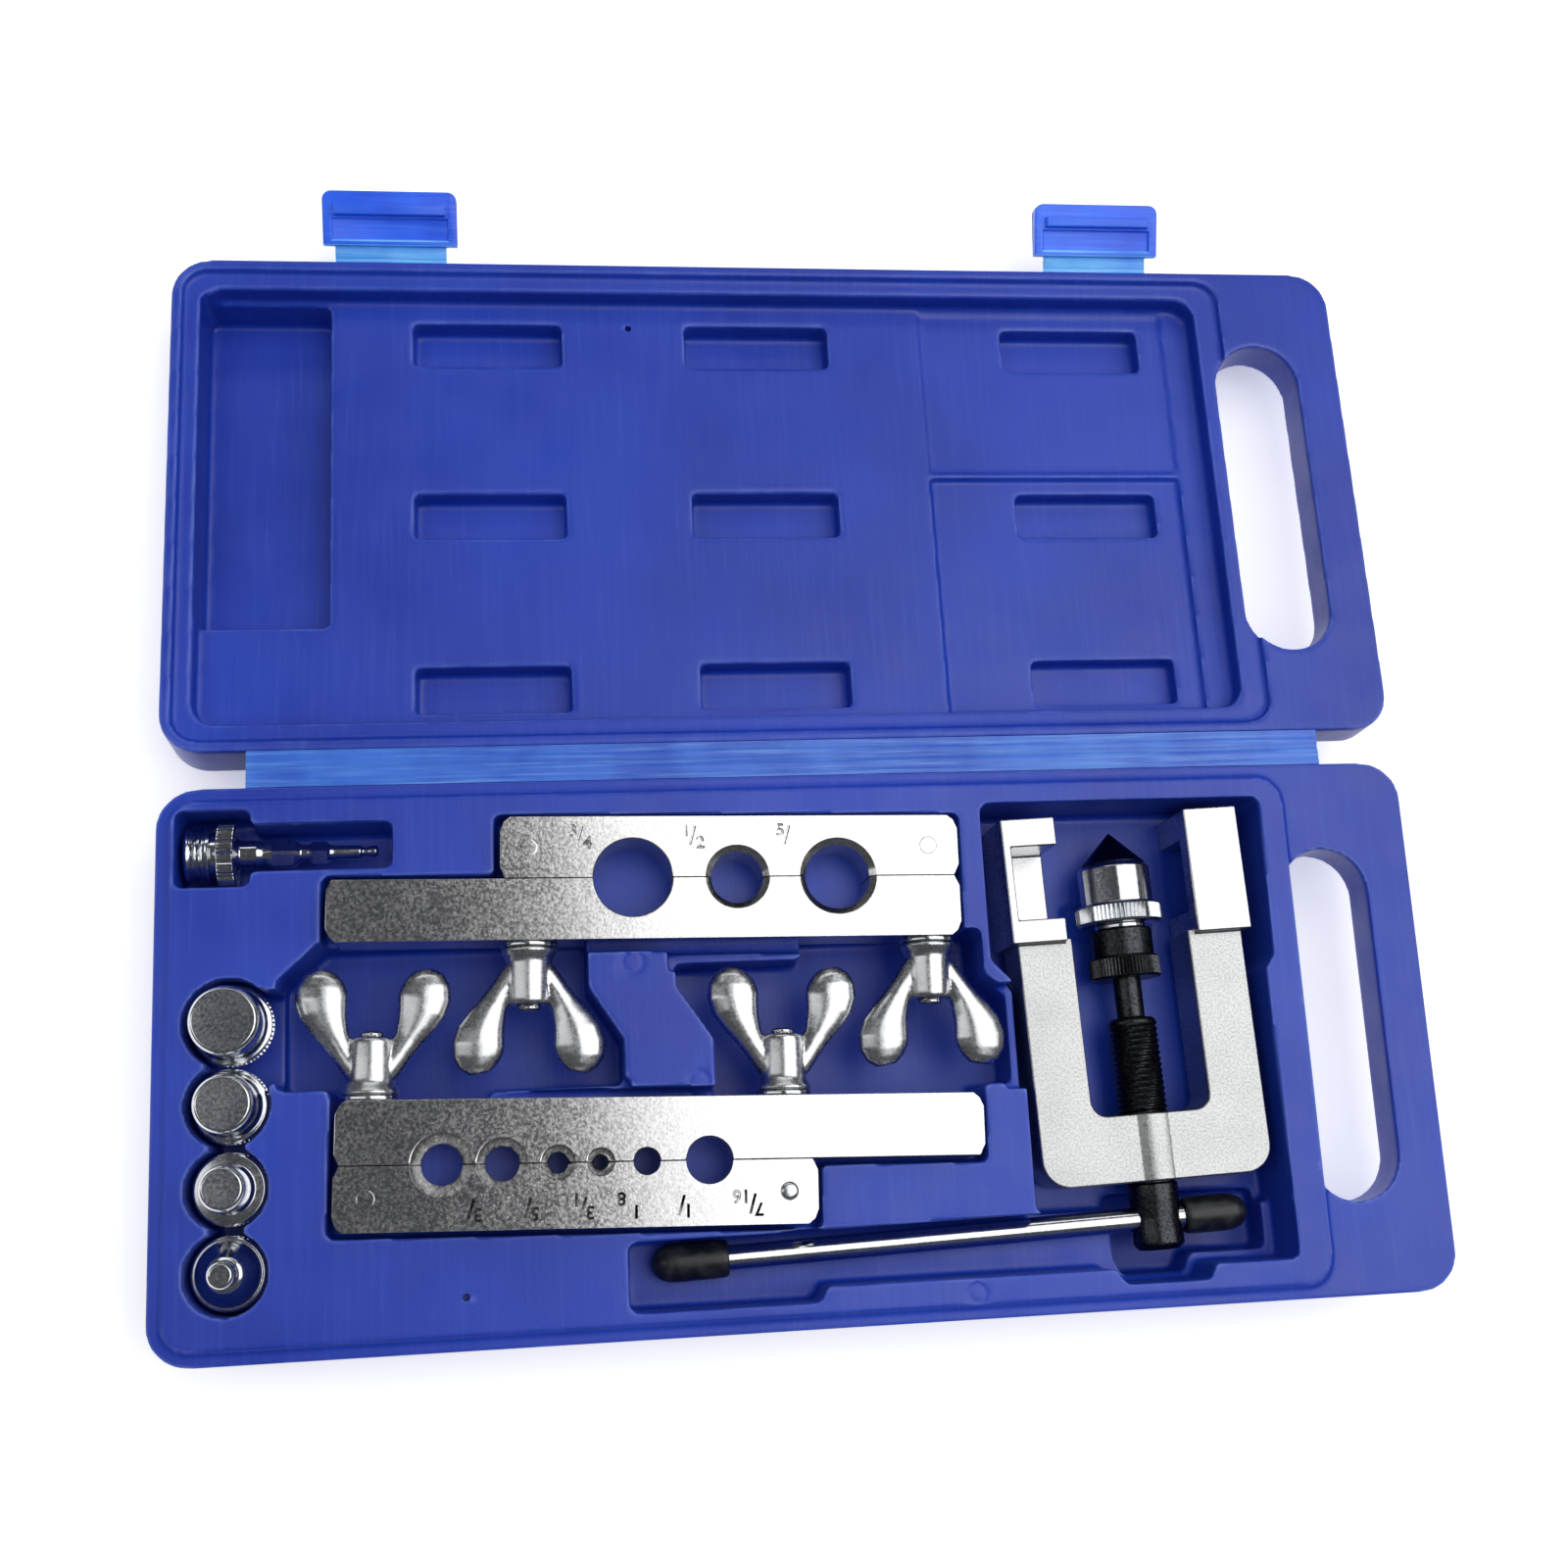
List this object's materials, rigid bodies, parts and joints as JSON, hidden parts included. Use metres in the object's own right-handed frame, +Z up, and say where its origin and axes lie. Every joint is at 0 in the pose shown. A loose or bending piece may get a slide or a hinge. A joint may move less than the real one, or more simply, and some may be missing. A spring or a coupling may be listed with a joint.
{
  "type": "flaring tool set",
  "caption": "Flaring and swaging set in a hinged moulded case: two split clamp bars with wing nuts, a hooked yoke with a screw-fed cone, and punches",
  "frame": {"origin": "middle of the underside of the case base", "axes": "+X to the handle end, +Y to the hinge and lid, +Z up"},
  "size_m": [0.315, 0.2968, 0.0384],
  "materials": {
    "case": "satin moulded polyethylene",
    "flex": "thin translucent polyethylene",
    "bar_steel": "nickel plated, fine blasted",
    "cast_steel": "zinc plated casting",
    "chrome": "bright chrome",
    "black_steel": "black oxide",
    "cone_steel": "hardened, blue-black",
    "black_cap": "soft vinyl"
  },
  "bodies": {
    "base": {"base_outer_shell": "case", "base_inner_tray": "case", "hinge_leaf_base": "flex"},
    "lid": {"lid_outer_shell": "case", "lid_inner_liner": "case", "hinge_leaf_lid": "flex", "latch_leaf_left": "flex", "latch_leaf_right": "flex"},
    "latch_left": {"latch_left": "flex"},
    "latch_right": {"latch_right": "flex"},
    "yoke": {"yoke": "cast_steel"},
    "feed_carriage": {"thrust_ball": "chrome"},
    "screw": {"feed_screw": "black_steel"},
    "t_handle": {"t_bar": "chrome", "t_cap_left": "black_cap", "t_cap_right": "black_cap"},
    "swivel": {"swivel_socket": "black_steel", "cone_holder": "chrome", "flaring_cone": "cone_steel"},
    "bar_a": {"bar_a_short": "bar_steel", "bar_a_stud_1": "bar_steel", "bar_a_stud_2": "bar_steel", "bar_a_pin_1": "bar_steel", "bar_a_pin_2": "bar_steel"},
    "jaw_a": {"bar_a_long": "bar_steel", "bar_a_washer_1": "chrome", "bar_a_washer_2": "chrome"},
    "nut_a_1": {"bar_a_nut_1": "chrome"},
    "nut_a_2": {"bar_a_nut_2": "chrome"},
    "bar_b": {"bar_b_short": "bar_steel", "bar_b_stud_1": "bar_steel", "bar_b_stud_2": "bar_steel", "bar_b_pin_1": "bar_steel", "bar_b_pin_2": "bar_steel"},
    "jaw_b": {"bar_b_long": "bar_steel", "bar_b_washer_1": "chrome", "bar_b_washer_2": "chrome"},
    "nut_b_1": {"bar_b_nut_1": "chrome"},
    "nut_b_2": {"bar_b_nut_2": "chrome"},
    "adapter_1": {"adapter_1": "chrome"},
    "adapter_2": {"adapter_2": "chrome"},
    "adapter_3": {"adapter_3": "chrome"},
    "adapter_4": {"adapter_4": "chrome"},
    "stepped_adapter": {"stepped_adapter": "chrome"}
  },
  "joints": [
    {"name": "lid_hinge", "type": "hinge", "parent": "base", "child": "lid", "pos_m": [0, 0.0718, 0.03], "axis": [-1, 0, 0], "range_deg": [-182.7, 0]},
    {"name": "latch_left_hinge", "type": "hinge", "parent": "lid", "child": "latch_left", "pos_m": [-0.1015, 0.21232, 0.02088], "axis": [-1, 0, 0], "range_deg": [-68, 20]},
    {"name": "latch_right_hinge", "type": "hinge", "parent": "lid", "child": "latch_right", "pos_m": [0.0915, 0.21232, 0.02088], "axis": [-1, 0, 0], "range_deg": [-68, 20]},
    {"name": "yoke_lift_out", "type": "slide", "parent": "base", "child": "yoke", "axis": [0, 0, 1], "range_m": [0, 0.06]},
    {"name": "screw_turn", "type": "hinge", "parent": "feed_carriage", "child": "screw", "pos_m": [0.0828, 0, 0.02], "axis": [-0.0349, 0.9994, 0], "range_deg": [0, 25]},
    {"name": "screw_feed", "type": "slide", "parent": "yoke", "child": "feed_carriage", "axis": [-0.0349, 0.9994, 0], "range_m": [0, 0.00010417]},
    {"name": "t_handle_slide", "type": "slide", "parent": "screw", "child": "t_handle", "axis": [0.9994, 0.0349, 0], "range_m": [0, 0.0075]},
    {"name": "cone_swivel", "type": "hinge", "parent": "feed_carriage", "child": "swivel", "pos_m": [0.0821, 0.01999, 0.02], "axis": [-0.0349, 0.9994, 0], "continuous": true},
    {"name": "bar_a_lift_out", "type": "slide", "parent": "base", "child": "bar_a", "axis": [0, 0, 1], "range_m": [0, 0.06]},
    {"name": "jaw_a_open", "type": "slide", "parent": "bar_a", "child": "jaw_a", "axis": [-0.0218, -0.9998, 0], "range_m": [0, 0.0012]},
    {"name": "nut_a_1_turn", "type": "hinge", "parent": "jaw_a", "child": "nut_a_1", "pos_m": [-0.06899, 0.04224, 0.0278], "axis": [-0.0218, -0.9998, 0], "range_deg": [0, 433]},
    {"name": "nut_a_2_turn", "type": "hinge", "parent": "jaw_a", "child": "nut_a_2", "pos_m": [0.02958, 0.04008, 0.0278], "axis": [-0.0218, -0.9998, 0], "range_deg": [0, 433]},
    {"name": "bar_b_lift_out", "type": "slide", "parent": "base", "child": "bar_b", "axis": [0, 0, 1], "range_m": [0, 0.06]},
    {"name": "jaw_b_open", "type": "slide", "parent": "bar_b", "child": "jaw_b", "axis": [0.0314, 0.9995, 0], "range_m": [0, 0.0012]},
    {"name": "nut_b_1_turn", "type": "hinge", "parent": "jaw_b", "child": "nut_b_1", "pos_m": [-0.00921, -0.02731, 0.0278], "axis": [0.0314, 0.9995, 0], "range_deg": [0, 433]},
    {"name": "nut_b_2_turn", "type": "hinge", "parent": "jaw_b", "child": "nut_b_2", "pos_m": [-0.10777, -0.02422, 0.0278], "axis": [0.0314, 0.9995, 0], "range_deg": [0, 433]},
    {"name": "adapter_1_lift_out", "type": "slide", "parent": "base", "child": "adapter_1", "axis": [0, 0, 1], "range_m": [0, 0.06]},
    {"name": "adapter_2_lift_out", "type": "slide", "parent": "base", "child": "adapter_2", "axis": [0, 0, 1], "range_m": [0, 0.06]},
    {"name": "adapter_3_lift_out", "type": "slide", "parent": "base", "child": "adapter_3", "axis": [0, 0, 1], "range_m": [0, 0.06]},
    {"name": "adapter_4_lift_out", "type": "slide", "parent": "base", "child": "adapter_4", "axis": [0, 0, 1], "range_m": [0, 0.06]},
    {"name": "stepped_adapter_lift_out", "type": "slide", "parent": "base", "child": "stepped_adapter", "axis": [0, 0, 1], "range_m": [0, 0.05]}
  ],
  "couplings": [
    {"joint": "screw_feed", "follows": "screw_turn", "m_per_rad": 0.00023873},
    {"joint": "nut_a_1_turn", "follows": "jaw_a_open", "rad_per_m": 6283.2},
    {"joint": "nut_a_2_turn", "follows": "jaw_a_open", "rad_per_m": 6283.2},
    {"joint": "nut_b_1_turn", "follows": "jaw_b_open", "rad_per_m": 6283.2},
    {"joint": "nut_b_2_turn", "follows": "jaw_b_open", "rad_per_m": 6283.2}
  ]
}
